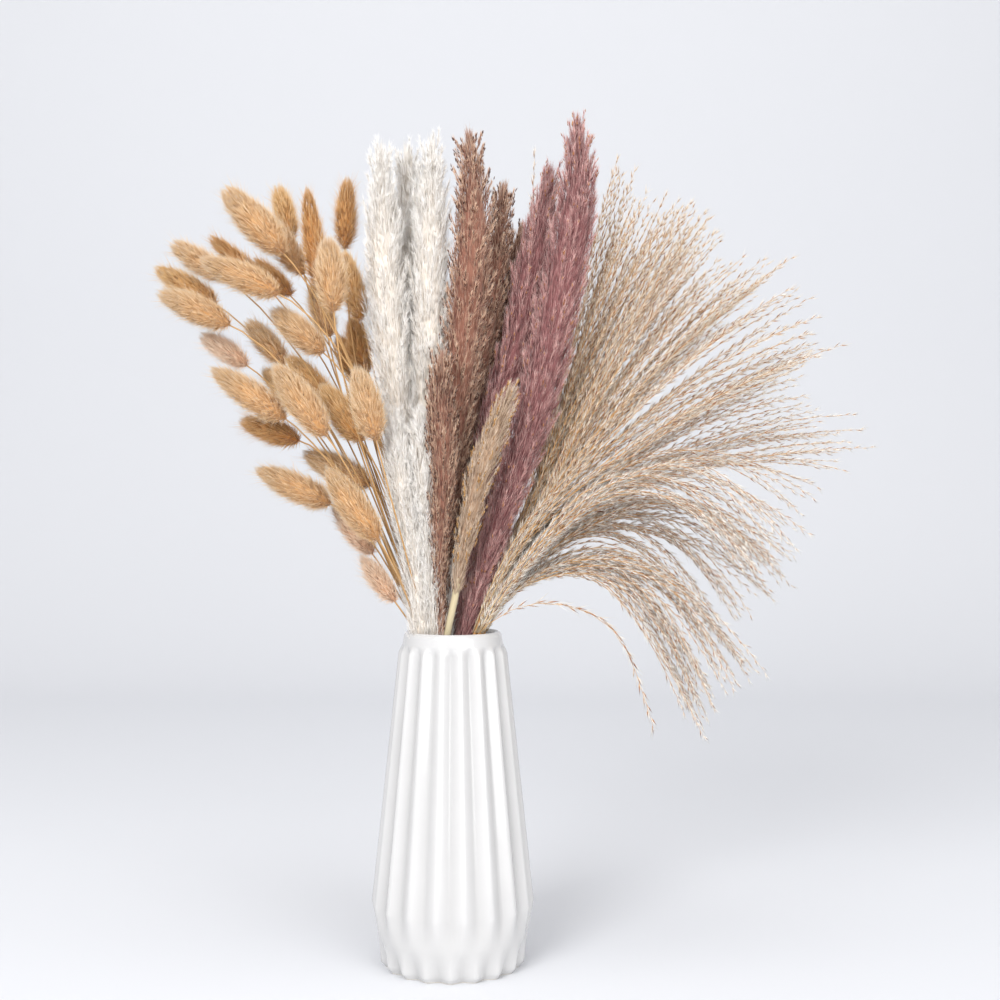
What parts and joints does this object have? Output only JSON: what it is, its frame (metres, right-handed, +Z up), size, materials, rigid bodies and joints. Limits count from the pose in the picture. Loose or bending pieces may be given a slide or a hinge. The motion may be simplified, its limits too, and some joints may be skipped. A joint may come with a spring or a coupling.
{
  "type": "bunch of dried pampas grass and bunny tails in a vase",
  "caption": "Mixed bunch of dried grasses with bunny tails, feathery plumes and a fan of arching seed sprays, standing in a pleated glazed ceramic vase.",
  "frame": {"origin": "middle of the flat underside of the vase, on the surface that it stands on", "axes": "+Z up along the vase, +X to the right of the front, where the fan of sprays spreads, +Y away from the viewer of the front"},
  "size_m": [0.419, 0.0912, 0.482],
  "materials": {
    "white_glaze": "gloss",
    "light_tail": "matte",
    "golden_tail": "matte",
    "brown_tail": "matte",
    "pinkish_tail": "matte",
    "white_plume": "matte",
    "brown_plume": "matte",
    "mauve_plume": "matte",
    "beige_plume": "matte",
    "seed_spray": "matte"
  },
  "bodies": {
    "root": {"vase": "white_glaze", "bunny_tail_01": "golden_tail", "bunny_tail_02": "light_tail", "bunny_tail_03": "pinkish_tail", "bunny_tail_04": "light_tail", "bunny_tail_05": "light_tail", "bunny_tail_06": "brown_tail", "bunny_tail_07": "light_tail", "bunny_tail_08": "light_tail", "bunny_tail_09": "golden_tail", "bunny_tail_10": "brown_tail", "bunny_tail_11": "brown_tail", "bunny_tail_12": "brown_tail", "bunny_tail_13": "light_tail", "bunny_tail_14": "golden_tail", "bunny_tail_15": "light_tail", "bunny_tail_16": "light_tail", "bunny_tail_17": "light_tail", "bunny_tail_18": "light_tail", "bunny_tail_19": "brown_tail", "bunny_tail_20": "brown_tail", "bunny_tail_21": "brown_tail", "bunny_tail_22": "golden_tail", "bunny_tail_23": "golden_tail", "bunny_tail_24": "light_tail", "bunny_tail_25": "golden_tail", "bunny_tail_26": "light_tail", "bunny_tail_27": "light_tail", "bunny_tail_28": "light_tail", "bunny_tail_29": "light_tail", "bunny_tail_30": "pinkish_tail", "bunny_tail_31": "pinkish_tail", "white_plume_left": "white_plume", "white_plume_back": "white_plume", "white_plume_right": "white_plume", "white_plume_low_left": "white_plume", "white_plume_low_right": "white_plume", "brown_plume_front": "brown_plume", "brown_plume_middle": "brown_plume", "brown_plume_back": "brown_plume", "brown_plume_low": "brown_plume", "mauve_plume_left": "mauve_plume", "mauve_plume_right": "mauve_plume", "beige_plume": "beige_plume", "fan_panicle_1": "seed_spray", "fan_panicle_2": "seed_spray", "fan_panicle_3": "seed_spray", "fan_panicle_4": "seed_spray", "fan_panicle_5": "seed_spray", "fan_panicle_6": "seed_spray", "fan_panicle_7": "seed_spray", "fan_panicle_8": "seed_spray", "drooping_spray": "seed_spray", "thin_spray": "seed_spray"}
  },
  "joints": []
}
